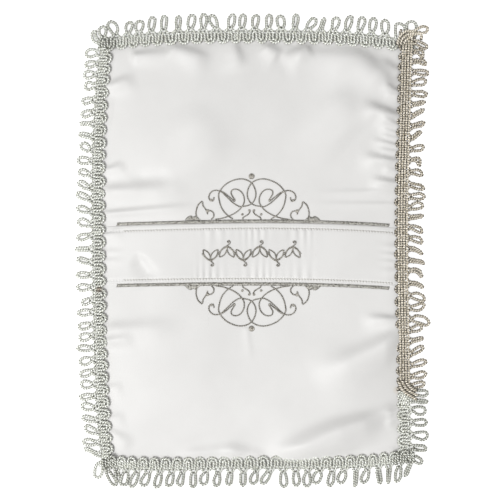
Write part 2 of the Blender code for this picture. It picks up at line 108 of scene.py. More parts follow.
# Folds of the front, in millimetres. Most start strong at the braid, run inwards with their middle
# bowed aside and die away by the power in the last column; with none there both ends are soft. The
# cloth falls across a fold away from the light and rises again slowly, or the other way round
# where the depth is negative.
FOLDS = (
    # start_x start_y end_x end_y bow width depth fade, two to a line
    (-92, 157, -56, 161.5, 0, 2.4, 2.1, 0.4), (-60, 163.5, -28, 150.5, 1.5, 3, 3, 0.5),
    (-12, 165, -5, 140, 0.5, 3, 2.8, 0.7), (14, 163.5, 26, 154.5, 1, 2.6, 2.6, 0.4),
    (42, 163, 20, 154.5, -1, 2.8, 2.4, 0.4), (40, 160, 86, 155, 2, 4.5, 1.5, 0.3),
    (121, 127, 65, 175, 1, 4.8, 3.9, 0), (117, 126.5, 102, 135, 0, 1.5, 2.2, 1),
    (117, 144.5, 100, 155, 0, 2.4, 2.2, 0.8), (117, 123, 104, 126.5, 0, 1.2, 1.3, 1),
    (117, 108.5, 84, 121, -1, 2.6, 4.2, 0.5), (117, 99.5, 99, 108.5, 0, 1.4, 2.6, 1),
    (117, 93.5, 99, 99, 0, 1.2, 2, 1), (117, 89, 99, 93.5, 0, 1.1, 1.8, 1),
    (117, 83.5, 92, 90, 0, 1.3, 2.4, 1), (117, 78.5, 95, 82.5, 0, 1.1, 2, 1),
    (117, 72, 82, 78, 0, 2.1, 3.2, 0.6), (117, 63, 102, 67, 0, 1.2, 1.8, 1),
    (117, 54.5, 90, 59, 0, 1.8, 3, 0.7), (117, 37.8, 40, 38.2, 0, 1.1, 0.55, 0.3),
    (117, 48.3, 42, 47, 0, 1.3, 0.6, 0.3), (117, -53, 84, -50.5, 0, 2, 2.8, 0.7),
    (117, -62, 40, -92.5, -3, 5, 5.2, 0.25), (104, -127, 2, -173, 6.5, 5, 6.2, 0),
    (122, -117, 72, -138, 0, 3, 1.8, 0), (117, -131, 103, -137, 0, 1.3, 2, 1),
    (117, -125.5, 104, -129, 0, 1.2, 1.6, 1), (112, -158, 78, -164, 0, 2.6, 1.4, 0.6),
    (-115.5, 132, -90, 141, 0, 2.2, 2.6, 0.7), (-115.5, 65.5, -98, 71, 0, 1.7, 1.9, 0.9),
    (-115.5, 50, -46, 55, 0, 3, 2, 0.2), (-115.5, 30.8, -36, 38, 0, 1.5, 1.4, 0.2),
    (-115.5, 13.6, -101, 17.8, 0, 1.4, 1, 1), (-115.5, -59.5, -50, -55, 0, 3.4, 1.6, 0.4),
    (-115.5, -70, -90, -65.5, 0, 2, 2, 0.8), (-115.5, -107.5, -100, -105.5, 0, 1.8, 1.2, 1),
    (-115.5, -132, -98, -129, 0, 1.8, 1.2, 1), (-110, -143, -90, -153, 0, 2.4, 1.3, 0.6),
    (-64, -161, 0, -154, 0, 3.2, 2.2, 0), (16, -163, -26, -154, 0, 3.2, 2.2, 0),
    (-109, 125, -115, 88, 0, 1.2, 0.7, 0), (-2.5, -62, 2, -92, 0, 1.2, 0.35, 0.6),
    (-46, 122, -16, 64, 2, 9, 2, 0), (64, 132, 96, 98, 2, 8, 2, 0),
    (-92, 0, -73, -23, 0, 2.4, -1.7, 0), (-98, 60, -60, 63, 0, 3, -0.8, 0),
)
AWAY_FROM_LIGHT = (0.5, 0.86)
RECOVERY = 3
FOLD_STRENGTH = 1.05
# How much a fold widens and thins towards its end, the share of its length over which it dies out
# there or, where soft, at both ends, and how fast it fades before its start
FOLD_WIDENS, FOLD_THINS = 0.9, 0.9
LAST_SHARE, SOFT_SHARE = 0.45, 0.35
FADE_BEFORE = 0.8
# How far a fold is from flat at the braid's inner edge
FOLD_AT_BRAID = 0.52

# How far out from the cover's centre the loops' tips usually lie, in millimetres
USUAL_REACH = {"left": 137, "right": 138, "top": 186, "bottom": 187}
# Loops of the fringe, in millimetres: the foot's place along the side, how far the tip lies along
# from there and out past the usual reach, how open the loop lies in tenths (with none it stands on
# edge), and how far its middle bows aside
LOOPS = {
    "left": (
        (-169, -12.3, -14.2, 10, 0), (-162, 5.5, -3.2, 0, 0), (-152.5, 0.5, -2.4, 5, 0),
        (-144.5, 5, -4, 7, 0), (-134.5, 2, -1.4, 3, 0), (-125, 1.8, -1.1, 8, 0),
        (-115.5, -1.5, 0, 5, 0), (-106.5, 0, -0.6, 9, 0), (-96, -3.5, 0, 5, 0),
        (-86.5, -3, 0.3, 8, 0), (-77.5, -0.3, 2.3, 5, 0), (-67.5, -2.5, 0.6, 8, 0),
        (-59, -2.3, 1.4, 7, 0), (-49, -1, 1.8, 6, 0), (-39.5, -3, -1.6, 5, 0),
        (-29.5, 0, 2.4, 6, 0), (-19.8, 0.3, 3, 4, 0), (-9.5, 3, 2.4, 3, 0), (1, 0, 4, 0, 0),
        (12, -2.7, 2.4, 5, 0), (20.5, 3, 1.6, 8, 0), (31, 3.3, 2.2, 6, 0), (40.5, 5.1, 2.5, 5, 0),
        (49.5, 5.3, 1.5, 5, 0), (60, 3.3, 0.8, 6, 0), (71, 0.8, 1.8, 8, 0), (80, 4.8, -0.8, 8, 0),
        (90.5, 2, 0.6, 2, 0), (100.5, 0.3, 0, 0, 0), (109.5, -2.5, -1, 7, 0),
        (119.5, -1.8, -1.4, 6, 0), (130.8, -0.3, -3.8, 10, 0), (139.5, 0, -3, 9, 0),
        (148, -0.8, -3.8, 6, 0), (157, -0.8, -4.5, 10, 0), (165.5, 9.8, -11.5, 3, -1.5),
    ),
    "right": (
        (-164, -5, -1.6, 6, 0), (-156, -1.5, 2, 5, 0), (-146.5, -0.8, 3, 10, 0),
        (-136.5, -0.3, 2.2, 7, 0), (-126, -2, 1.2, 10, 0), (-119, -1.3, 3, 0, 0),
        (-113, -0.5, 3, 6, 0), (-107.5, 2.2, 0.5, 4, 0), (-100, 2.5, 1.6, 7, 0),
        (-91, 3.5, 1.3, 5, 0), (-81.5, 6, -1.2, 4, 0), (-71.5, 2.5, -1, 0, 0),
        (-63, 3.5, -2.4, 6, 0), (-54, -4.5, 3.4, 9, 1.5), (-45.5, 3, -0.3, 7, -1),
        (-35.5, -4, -0.3, 8, 1), (-26, -3.5, -1, 0, 1), (-16, -5.6, -2.3, 1, 2.5),
        (-7.8, -2.2, -0.2, 0, 0.5), (1.3, -4.6, -1.9, 0, 1), (10, -3.5, -1.7, 4, 0.5),
        (18.5, -4.7, -1.7, 3, 1), (26, 1.5, -1.2, 0, 0), (34, 1.8, -1.2, 7, 0.5),
        (42.5, 0.5, 0, 5, 0), (52, -3.2, -0.5, 3, 0), (62, -2.2, -1.8, 4, 1), (71.5, -5, -4, 2, 3),
        (80, 2.2, -0.5, 4, 0), (88.5, 6.3, -3, 0, 0), (98, 3.4, -0.2, 1, 0),
        (106.5, 5.7, -0.9, 0, 0), (115.5, 2.5, 0.5, 0, 0), (124.5, -1.2, 2, 4, 0),
        (132.5, 2.3, 1.4, 7, 0), (141.5, -0.5, 3.2, 4, 0), (150, -2.5, 1.8, 1, 1),
        (157.5, -5, -1.3, 4, 2.5), (165.5, -5, 2.4, 3, 0),
    ),
    "top": (
        (-117.8, -0.5, -7.4, 9, 0), (-107.8, -5.8, -4, 10, 1), (-98.3, 2.3, -3.5, 8, 0),
        (-89.3, 0.5, -2.5, 10, 0), (-79.8, 1.3, 0.3, 6, 0), (-69.8, 0.6, 1.3, 6, 0),
        (-58.5, 0.5, 1, 4, 0), (-48.8, 2, 2, 8, 0), (-38.5, 0.5, 2.8, 7, 0),
        (-27.8, -5.2, 1.5, 8, 0), (-17, 2.2, 2.5, 7, 0), (-7.8, 1.3, 2.5, 6, 0),
        (2.5, 1.3, 2, 7, 0), (13.2, 1.1, 2.4, 6, 0), (23.8, -1.3, 1.4, 10, 0),
        (34.3, 1.3, 2.6, 4, 0), (44.5, 7, -1.2, 7, 0), (55, 3, -0.4, 0, 0), (64.8, 3.7, 0, 8, 0),
        (75.2, 4, 1.2, 6, 0), (85.5, 3, 0.2, 7, 0), (95, 2.5, -0.5, 8, 0), (105.8, 0.2, -1.8, 9, 0),
        (117, 1.5, -4.8, 15, 0), (126.5, 1, -2.8, 15, 0),
    ),
    "bottom": (
        (-114.5, 7.5, 0.6, 6, 0), (-107, 2.5, -2, 2, 0), (-99.3, -3.2, 0.5, 8, 0),
        (-91, -5, 1.5, 7, 0), (-81.8, -5.2, 0.8, 8, 0), (-72.8, -3, 2.4, 7, 0),
        (-63.5, -2.8, 1.3, 8, 0), (-55, -2.5, 1, 5, 0), (-46, -0.8, 2.2, 5, 0),
        (-36.2, -2.8, 0, 8, 0), (-26.5, -1.7, 1.2, 6, 0), (-16.8, -1.7, 0, 5, 0),
        (-6.5, -0.5, 1, 4, 0), (3.5, -3.2, -0.8, 9, 0), (14.5, -6.7, -1.2, 6, 0),
        (25, 1, 1.7, 8, 0), (35, 1, 1, 7, 0), (44.3, -0.3, 1.5, 8, 0), (54.2, -4.7, -1.7, 10, 0),
        (64, -2.2, 1, 6, 0), (73.6, -4, -1.7, 10, 0), (82.8, -0.6, 1.5, 0, 0),
        (91.8, -3.6, -1.5, 8, 0), (100.5, 2, -1, 1, 0), (108.8, -0.3, -1, 0, 0),
        (117.2, -1.7, -2.3, 5, 0), (125.5, -4, -6.6, 0, 0),
    ),
}
# Half the distance between a loop's cords on edge and just opened, what full opening adds, and
# the tenths of full opening
ON_EDGE, OPENED, OPENS_BY, FULLY = 0.00095, 0.0012, 0.0018, 10
# One side of a loop: share of its length, width in shares of the neck's and of the loop's own,
# and how far its cords lie one on the other where it is narrow
LOOP_PROFILE = (
    # length neck half apart
    (0, 1, 0, 0), (0.2, 0.4, 0.6, 0.3), (0.42, 0, 0.92, 0.8), (0.65, 0, 1, 1), (0.86, 0, 0.82, 1),
    (0.96, 0, 0.48, 0.5), (1, 0, 0, 0),
)

# Where each side's braid starts and ends, in millimetres along the side
BRAID_ENDS = {
    "left": (-173.5, 169), "right": (-168.5, 172), "top": (-121.5, 130.5), "bottom": (-119, 129),
}

# Where a braid climbs onto its neighbour's end, in millimetres along the side, and which way
OVERLAPS = {
    "left": (), "right": ((154, 1),), "top": ((-104, -1),), "bottom": ((-104, -1), (108, 1)),
}
OVERLAP_RISE = 0.0021
OVERLAP_RUN = 0.007
# Share of its climb that a loop's tip has lost again
CLIMB_LOSS = 0.5

# The braid's cord: two plies of metallised yarn
PLY_RADIUS = 0.00067
PLY_SPREAD = 0.0006
PLY_COUNT = 2
PLY_TWIST = 0.004
CORD_RADIUS = PLY_RADIUS + PLY_SPREAD
CORD_LIFT = CORD_RADIUS + 0.0001
CORD_STEP = 0.00062
PLY_SIDES = 6
SCALLOP_TURN = -0.0072
SHOULDER_TURN = -0.0032
# Half a scallop's waist in shares of the pitch, and the cord's way from there to a loop's neck:
# shares of the pitch aside from the foot, and metres out from the shoulder
WAIST = 0.125
TO_NECK = ((0.34, 0.0016), (0.22, 0.0029))
NECK_OUT = 0.001
NECK_HALF, WIDE_NECK = 0.00105, 0.7
UNEVENNESS = 0.00016
SIDE_SHADE = 0.3
CORNER_SHADE = 0.34
# Painted shade on the loops against the braid's head, by side; least on the left, where the loops
# face the light
LOOP_SHADE = {"left": 0.22, "top": 0.37, "bottom": 0.42, "right": 0.42}
LOOP_GIRTH = 0.18
# From the head to the loops these change over this length
LOOP_CHANGE = 0.003
# Scales of the painted shading on the cords: on the face's head, on the reverse, which is darker
# all over, with what its loops gain, and on the cords folded over, painted darker as shade in their
# bundle
HEAD_SHADING, REVERSE_SHADING, REVERSE_LOOPS, TURNED_SHADING = 1.05, 0.62, 0.06, 0.78
TURNED_LIFT = 2.9
TURNED_GIRTH = 1.15

# Chain-stitched wales that run along the braid's reverse, out from its outer edge
WALES = (-0.0082, -0.006, -0.0038, -0.0016)
LINK_PITCH = 0.0019
LINK_RADIUS = 0.0004
LINK_STEP, LINK_UNEVENNESS = 0.00055, 0.00009
# The links lie this many cord radii up on the reverse, and sunk a little on the face
LINK_LIFT, LINK_SUNK = 2.35, 0.0002
# Painted highlight and shade on a link: brightness at its middle, its loss towards the ends, and
# where that starts and how long
LINK_HIGHLIGHT, LINK_LOSS, LOSS_FROM, LOSS_RUN = 1.45, 1.1, 0.16, 0.28
# One link of a wale: shares of the pitch along, millimetres across and millimetres up
LINK = (
    (-0.1, 0, -0.5), (0.12, 0.2, -0.15), (0.4, 0.4, 0.12), (0.72, 0.42, 0.2),
    (0.96, 0.22, 0), (1.04, 0, -0.25),
)
TWIST_PLACE = -0.111

# Cords that cross at the right braid's twist and at its folded upper end, in millimetres
TURNOVER = (
    ((117, -104), (118.5, -108.5), (122, -112.5), (126.5, -115.5), (131, -118)),
    ((119.2, -103), (121, -107), (124, -110.5), (128, -113), (131.5, -115)),
    ((123, -104.5), (125, -107.5), (128, -110), (131, -111)),
    (
        (115.5, 163), (116.5, 167.5), (119, 171.5), (123, 173.8), (128, 173.6), (132, 176),
        (136, 177.6), (139.4, 176.5), (139, 173.6), (135, 172.2), (131.5, 171.6), (127.5, 170.8),
        (124, 169),
    ),
    (
        (118, 163), (118.8, 166.5), (121, 169.5), (124.5, 171.4), (129, 172), (133.5, 172.5),
        (134.6, 170), (134.3, 167),
    ),
    ((120.6, 163.5), (121.6, 166), (124, 168), (128, 169)),
)

# Strokes of the scrollwork's right half, in thousandths of SCROLL_REACH and SCROLL_HEIGHT
SCROLLS = (
    (
        (578, 486), (600, 406), (636, 416), (660, 486), (636, 581), (578, 634), (514, 634),
        (363, 465), (263, 338), (177, 279), (105, 290), (33, 317), (-24, 380), (-60, 486),
        (-65, 581), (-46, 687), (-3, 793), (62, 856), (162, 888), (291, 852), (406, 761),
        (478, 645), (507, 560), (499, 412), (456, 233), (349, 63), (291, 11),
    ),
    (
        (564, 0), (435, 32), (349, 74), (234, 159), (162, 254), (116, 370), (116, 476), (148, 581),
        (198, 645), (255, 662), (306, 634), (317, 581), (291, 497), (255, 416),
    ),
    ((270, 402), (349, 497), (435, 592), (492, 628)),
    ((22, 190), (40, 127), (90, 74), (133, 32), (141, 0)),
    ((765, 402), (822, 328), (851, 222), (858, 137), (844, 30)),
    ((758, 391), (750, 307), (715, 233), (693, 180), (679, 116)),
    ((664, 201), (614, 180), (585, 127), (585, 63), (621, 0)),
)
# Filled dots: places as above, and radius in millimetres
SCROLL_DOTS = (
    (143, 110, 0.8), (36, 196, 0.8), (622, 425, 0.9), (268, 412, 0.8), (678, 190, 1.2),
)
BUD = (0, 945, 2.2)
DOT_PITCH, DOT_THREAD, DOT_LIFT, DOT_DOME = 0.00042, 0.00024, 0.0002, 0.0006
SCROLL_BASE = BAND_WIDTH / 2 + GAP + RAIL_WIDTH
SCROLL_STEP = 0.0004
SCROLL_PLY = 0.00027
SCROLL_TWIST = 0.0028
SCROLL_LIFT, VINE_LIFT = 1.6 * SCROLL_PLY, 1.4 * SCROLL_PLY
# Pitch of the stem stitches, and the painted glint at their middles, how much brighter they are
# there
SCROLL_STITCH, STITCH_GLINT = 0.0017, 0.4
# The right half as drawn, and the left half mirrored and a little narrower
HALVES = (1, -LEFT_SCROLL)

# Filled mounds on the rails: from and to along them and height, in shares of the scrollwork's;
# the notch in each has its place, width and depth
MOUND = (0.79, 1.01, 0.105)
MOUND_NOTCH = (0.45, 0.1, 0.3)
MOUND_POWER = 0.6
MOUND_PITCH, MOUND_THREAD, MOUND_DOME = 0.0004, 0.00023, 0.0005
MOUND_SLANT, MOUND_SUNK, MOUND_LIFT = 0.0008, 0.0004, 0.00022

# Topstitching: its distance above and below the band's centre line, and its stitches
STITCH_LINES = (0.0193, -0.0207)
STITCH_PITCH = 0.0023
STITCH_LENGTH = 0.0016
STITCH_SLANT = 0.00035
STITCH_RADIUS = 0.00031
STITCH_START, STITCH_END = -0.8, 0.89
STITCH_GROOVE = 0.00075
STITCH_LIFT, STITCH_DIVE = 0.0002, 0.00045
GROOVE_WIDTH = 0.001
# Depth of the groove between two stitches, and how sharply each stitch pinches it
GROOVE_SHARE, PINCH_POWER = 0.4, 8

# The band's turned edges, its height there and what it gains inside them in shares of its
# thickness, and the sag of its upper edge on the left
BAND_ROLL = 0.0042
BAND_LOW, BAND_GAIN = 0.2, 0.32
UPPER_SAG, SAG_FROM, SAG_RUN = 0.0011, 0.03, 0.14
# How far the band's ends run under the braid, and over which length they are pressed flat
BAND_TUCK = 0.003
TUCK_RUN = 0.006
# Room left between two layers of cloth
HAIR = 0.00005

# Puckers that the embroidery draws into the band, from one place to another along it
PUCKER_FROM, PUCKER_TO, PUCKER_FADE = -0.052, 0.055, 0.012
PUCKER_REACH = 0.0088
PUCKER_START = 0.0015
PUCKER_PITCH = 0.0064
PUCKER_DEPTH = 0.00055
# Their pitch and their depth wander, by so much and over such lengths
PITCH_WANDER, PITCH_RUN = 2.6, 0.0093
DEPTH_WANDER, DEPTH_RUN = 0.45, 0.0061
# Small creases at the band's left and right ends: reach, depth, width, sway and the sway's run
END_CREASES = ((0.02, 0.00022, 0.0017, 1.5, 0.0047), (0.016, 0.0003, 0.0013, 2, 0.0061))

# The embroidered vine on the band: a plain running stem with leaves and tendrils
VINE_REACH = 0.039
VINE_SWING = 0.0056
VINE_WAVES = 3
LEAF_LENGTH = 0.0098
LEAF_WIDTH = 0.004
LEAF_LEAN = 0.62
LEAF_SEAT = 0.92
VINE_DROP = 0.0007
# Half a leaf's outline in shares of its length and width, and a tendril in millimetres
LEAF = ((0, 0), (0.25, 0.36), (0.55, 0.5), (0.85, 0.28), (1, 0))
TENDRIL = ((0.4, 0), (1.6, 0.9), (2.9, 2.4), (2.4, 3.9), (1, 3.8), (0.9, 2.8), (1.7, 2.6))
TENDRIL_SHIFT = 0.0004

# Rails of satin stitch
RAIL_STITCH = 0.00056
RAIL_THREAD = 0.00032
RAIL_SLANT = 0.0004
# Share of its full width that a stitch fills, more beside the scrolls, and its unevenness
RAIL_FULL, RAIL_MORE, RAIL_CHANGE = 0.92, 0.1, 0.004
RAIL_UNEVEN = (-0.06, 0.18)
RAIL_LOFT, RAIL_LIFT, RAIL_ROUGH = 0.45, 0.0001, 0.0002
# Stitches laid in one pass of the thread catch the light alike over this length
RAIL_TUFT = 0.0009
# The range of painted glint, from one pass of the thread to the next
RAIL_GLINT = (0.6, 1.45)

# Small stains: one on the left braid, one on the satin by the lower right corner
BRAID_STAIN = (-0.121, -0.031, 0.005)
SATIN_STAIN = (0.1158, -0.111, 0.0045)
# Pitch of the film wound on the cords, three times the real one, so that it shows
WRAP_PITCH = 0.0006

# The light, and the camera with the width of the photograph's frame at the floor
KEY_PLACE = (-2, -1.35, 3.55)
KEY_SIZE = 1.7
KEY_POWER = 119
DOME_STRENGTH = 0.65
FLOOR_SIZE = 6
FRAME_WIDTH = 0.3975
VIEW_CENTRE = (-0.0012, 0.0004)
CAMERA_LENS = 180
SENSOR = 36


def smoothstep(value):
    value = np.clip(value, 0, 1)
    return value * value * (3 - 2 * value)


def soft_rise(distance):
    """A rise that is quickest beside the braid and dies out slowly towards the middle."""
    left_over = 1 - np.clip(distance / SOFT_RUN, 0, 1)
    return 1 - left_over**SOFT_POWER


def edge(side, along, inset=0):
    """Distance from the centre to a side of the cover, at a place along it."""
    upright = side in ("left", "right")
    half_run = HALF_LENGTH if upright else HALF_WIDTH
    half_reach = HALF_WIDTH if upright else HALF_LENGTH
    share = np.clip(np.asarray(along) / half_run, -1, 1)
    return half_reach + EDGE_BOW * np.polyval(EDGE_CURVES[side], share) - inset


def band_line(x, offset=0):
    share = np.clip(np.asarray(x) / HALF_WIDTH, -1, 1)
    return BAND_CENTRE + BAND_SLANT * np.polyval(BAND_CURVE, share) + offset


def upper_sag(x, side=1):
    """How far the band's upper edge is pulled down near its left end; the lower one isn't."""
    return UPPER_SAG * smoothstep((SAG_FROM - np.asarray(x)) / SAG_RUN) if side > 0 else 0


def insets(x, y):
    """Distances in from the braid's inner edge: at the left, right, bottom and top."""
    return (
        edge("left", y, BRAID_WIDTH) + x,
        edge("right", y, BRAID_WIDTH) - x,
        edge("bottom", x, BRAID_WIDTH) + y,
        edge("top", x, BRAID_WIDTH) - y,
    )


def pocket_rise(x, y):
    """Height inside the pocket: nothing at the closed sides, a gape at the mouth."""
    left, right, bottom, top = (soft_rise(distance) for distance in insets(x, y))
    share = y / HALF_LENGTH
    opening = smoothstep((share - MOUTH_START) / (MOUTH_FULL_FROM - MOUTH_START))
    opening = opening * smoothstep((MOUTH_END - share) / (MOUTH_END - MOUTH_FULL_TO))
    gape = opening * MOUTH_GAPE / POCKET_HEIGHT
    return POCKET_HEIGHT * left * bottom * top * (gape + (1 - gape) * right)


def fold_relief(x, y):
    """Falls of the cloth along the folds, which die out under the braid."""
    relief = np.zeros_like(x)
    for start_x, start_y, end_x, end_y, bow, width, depth, fade in FOLDS:
        start = np.array((start_x, start_y)) * MM
        run = np.array((end_x, end_y)) * MM - start
        length = math.hypot(*run)
        normal = np.array((run[1], -run[0])) / length
        way = math.copysign(1, normal @ AWAY_FROM_LIGHT)
        from_x, from_y = x - start[0], y - start[1]
        share = (from_x * run[0] + from_y * run[1]) / length**2
        held = np.clip(share, 0, 1)
        across = way * (from_x * normal[0] + from_y * normal[1])
        across = (across - bow * MM * 4 * held * (1 - held)) / (width * MM)
        spread = 1 + FOLD_WIDENS * held
        fall = (1 - np.tanh(across / spread)) * np.exp(-((across / (RECOVERY * spread)) ** 2))
        if fade:
            past = np.maximum(np.abs(share - 0.5) - 0.5, 0) * length / (width * MM)
            strength = (1 - FOLD_THINS * held) ** fade * np.exp(-((FADE_BEFORE * past) ** 2))
            strength = strength * smoothstep((1 - share) / LAST_SHARE)
        else:
            strength = smoothstep(share / SOFT_SHARE) * smoothstep((1 - share) / SOFT_SHARE)
        relief = relief + FOLD_STRENGTH * depth * MM * strength * fall
    margin = np.minimum.reduce(insets(x, y)) / FOLD_FADE
    return relief * smoothstep(FOLD_AT_BRAID + (1 - FOLD_AT_BRAID) * margin)


def front_top(x, y):
    """Z of the front's upper face."""
    room = np.maximum(pocket_rise(x, y) + fold_relief(x, y), 0)
    return BACK_THICKNESS + GAP + room + FRONT_THICKNESS


def braid_seat(x, y):
    return BACK_THICKNESS + GAP + pocket_rise(x, y) + FRONT_THICKNESS + BRAID_GAP


def band_top(x, y):
    """Z of the band's upper face, with its turned edges, stitch grooves and puckers."""
    offset = y - band_line(x)
    ends = insets(x, y)[:2]
    roll = smoothstep((BAND_WIDTH / 2 - np.abs(offset)) / BAND_ROLL)
    loft = BAND_LOW + BAND_GAIN * roll * smoothstep(np.minimum(*ends) / TUCK_RUN)
    height = front_top(x, y) + HAIR + (GAP + BAND_THICKNESS) * loft
    run = smoothstep((x - PUCKER_FROM) / PUCKER_FADE) * smoothstep((PUCKER_TO - x) / PUCKER_FADE)
    stitches = (x - STITCH_START * HALF_WIDTH) / STITCH_PITCH - 0.5
    groove = STITCH_GROOVE * (GROOVE_SHARE + np.cos(math.pi * stitches) ** PINCH_POWER)
    for side_line in STITCH_LINES:
        line = side_line - upper_sag(x, side_line)
        height = height - groove * np.exp(-(((offset - line) / GROOVE_WIDTH) ** 2))
        inward = -np.sign(line) * (offset - line)
        reach = smoothstep(inward / PUCKER_START) * np.exp(-np.maximum(inward, 0) / PUCKER_REACH)
        phase = math.tau * x / PUCKER_PITCH + PITCH_WANDER * np.sin(x / PITCH_RUN + line / MM)
        swell = 1 - DEPTH_WANDER * (1 - np.sin(x / DEPTH_RUN + 3 * line / MM))
        height = height + PUCKER_DEPTH * run * swell * reach * np.cos(phase)
    for inward, (reach, depth, width, sway, sway_run) in zip(ends, END_CREASES):
        crease = np.sin(offset / width + sway * np.sin(offset / sway_run))
        height = height + depth * (1 - smoothstep(inward / reach)) * crease
    return height


def crossings(inset, lower, upper, cells):
    """Places of a grid between the two long sides and two bowed lines."""
    across, up = np.meshgrid(np.linspace(0, 1, cells[0] + 1), np.linspace(0, 1, cells[1] + 1))
    x = np.zeros_like(across)
    y = np.zeros_like(across)
    for _ in range(CROSSING_ROUNDS):
        x = -edge("left", y, inset) * (1 - across) + edge("right", y, inset) * across
        y = lower(x) * (1 - up) + upper(x) * up
    return x, y


def within_seams(cells):
    """Places of a grid over a whole panel, out to its seams under the braid."""
    return crossings(
        SEAM_COVER,
        lambda x: -edge("bottom", x, SEAM_COVER),
        lambda x: edge("top", x, SEAM_COVER),
        cells,
    )


def linear(colour):
    """An sRGB hex value as linear colour."""
    parts = [int(colour[at : at + 2], 16) / 255 for at in (1, 3, 5)]
    return [v / 12.92 if v <= 0.04045 else ((v + 0.055) / 1.055) ** 2.4 for v in parts] + [1]


def add(tree, kind, settings=None, links=None):
    """Add a node with its settings and its links, each from an output or a node's first one."""
    node = tree.nodes.new("ShaderNode" + kind)
    for name, value in (settings or {}).items():
        if name == "stops":
            stops = node.color_ramp.elements
            stops[0].position, stops[0].color = value[0][0], linear(value[0][1])
            stops[1].position, stops[1].color = value[-1][0], linear(value[-1][1])
            for place, colour in value[1:-1]:
                stops.new(place).color = linear(colour)
        elif hasattr(node, str(name)):
            setattr(node, name, value)
        else:
            node.inputs[name].default_value = value
    for name, source in (links or {}).items():
        tree.links.new(getattr(source, "outputs", [source])[0], node.inputs[name])
    return node


def new_material(name, looks):
    """A material with its shader's inputs, and the place on the cover that its patterns follow."""
    material = bpy.data.materials.new(name)
    material.use_nodes = True
    tree = material.node_tree
    shader = tree.nodes["Principled BSDF"]
    for entry, value in looks.items():
        shader.inputs[entry].default_value = value
    return material, tree, shader, add(tree, "TexCoord").outputs["Object"]


def mottled(tree, where, scale, detail, *stops):
    """A colour that wanders between stops in soft spots."""
    spots = add(tree, "TexNoise", {"Scale": scale, "Detail": detail}, {"Vector": where})
    return add(tree, "ValToRGB", {"stops": stops}, {"Fac": spots}).outputs["Color"]


def satin_weave_polyester():
    """Satin-weave polyester: long smooth floats give a soft sheen and a faint diagonal grain."""
    looks = {"Roughness": 0.52, "IOR": 1.52, "Sheen Weight": 0.15, "Sheen Roughness": 0.4}
    material, tree, shader, where = new_material("satin_weave_polyester", looks)
    tint = mottled(tree, where, 26, 3, (0.3, "#e3e2e0"), (0.7, "#e9e8e6"))
    colour = stained(tree, where, tint, SATIN_STAIN, 0.0045, "#d9cbb0")
    tree.links.new(colour, shader.inputs["Base Color"])
    # floats are drawn 1.3 mm apart, ten times the real ones, so that they show at all
    turned = add(tree, "Mapping", {"Rotation": (0, 0, 0.9)}, {"Vector": where})
    wave = {"Scale": 240, "Distortion": 3, "Detail": 2, "Detail Scale": 2}
    floats = add(tree, "TexWave", wave, {"Vector": turned})
    grain = add(tree, "TexNoise", {"Scale": 1300, "Detail": 3}, {"Vector": where})
    relief = {"Strength": 0.1, "Distance": 0.0002}
    fine = add(tree, "Bump", relief, {"Height": floats.outputs["Fac"]})
    relief["Strength"] = 0.34
    bump = add(tree, "Bump", relief, {"Height": grain, "Normal": fine})
    tree.links.new(bump.outputs["Normal"], shader.inputs["Normal"])
    return material


def stained(tree, where, clean, place, reach, colour):
    """A colour with one soft stain round a place on the cover."""
    away = add(tree, "VectorMath", {"operation": "DISTANCE", 1: place}, {0: where})
    fade = {"From Min": 0.25 * reach, "From Max": reach, "To Min": 0.6, "To Max": 0}
    share = add(tree, "MapRange", fade, {"Value": away.outputs["Value"]})
    mixed = add(tree, "Mix", {"data_type": "RGBA", 7: linear(colour)}, {0: share, 6: clean})
    return mixed.outputs[2]


def metallised_yarn(name, light, dark, crevice, roughness, metallic):
    """Metallised film wound on a core, with painted shade: bright on the crowns, dark between the
    plies and at the sides.
    """
    looks = {"Roughness": roughness, "Metallic": metallic}
    material, tree, shader, where = new_material(name, looks)
    along = add(tree, "UVMap", {"uv_map": "thread"})
    parts = add(tree, "SeparateXYZ", {}, {"Vector": along})
    per_metre = {"operation": "MULTIPLY", 1: 1 / WRAP_PITCH}
    turns = add(tree, "Math", per_metre, {0: parts.outputs["X"]})
    spiral = add(tree, "Math", {"operation": "ADD"}, {0: turns, 1: parts.outputs["Y"]})
    wrap = add(tree, "Math", {"operation": "PINGPONG", 1: 0.5}, {0: spiral})
    tint = mottled(tree, where, 900, 1, (0.38, dark), (0.52, light))
    # The crown attribute paints shade: the crevice colour between the plies and at the sides
    crown = add(tree, "Attribute", {"attribute_name": "crown"})
    ends = {"From Min": 0.28, "From Max": 0.62}
    bright = add(tree, "MapRange", ends, {"Value": crown.outputs["Fac"]})
    shade_mix = {"data_type": "RGBA", 6: linear(crevice)}
    shade = add(tree, "Mix", shade_mix, {0: bright, 7: tint})
    colour = stained(tree, where, shade.outputs[2], BRAID_STAIN, 0.0035, "#8a6a48")
    tree.links.new(colour, shader.inputs["Base Color"])
    relief = {"Strength": 0.5, "Distance": 0.0001}
    bump = add(tree, "Bump", relief, {"Height": wrap})
    tree.links.new(bump.outputs["Normal"], shader.inputs["Normal"])
    return material


def spun_polyester_thread():
    """Spun polyester sewing thread, matt beside the satin: white thread, coloured grey as painted
    shade of its holes and groove.
    """
    material, tree, shader, where = new_material("spun_polyester_thread", {"Roughness": 0.75})
    tint = mottled(tree, where, 2500, 2, (0.3, "#b9b7b0"), (0.7, "#d6d4ce"))
    tree.links.new(tint, shader.inputs["Base Color"])
    return material


def matt_white_card():
    """The plain pale floor: matt card, a little brighter than the cloth."""
    glow = {"Emission Color": (1, 1, 1, 1), "Emission Strength": 0.8}
    material, tree, shader, where = new_material("matt_white_card", {"Roughness": 0.9, **glow})
    tint = mottled(tree, where, 3, 2, (0.2, "#f4f4f4"), (0.8, "#f7f7f7"))
    tree.links.new(tint, shader.inputs["Base Color"])
    return material


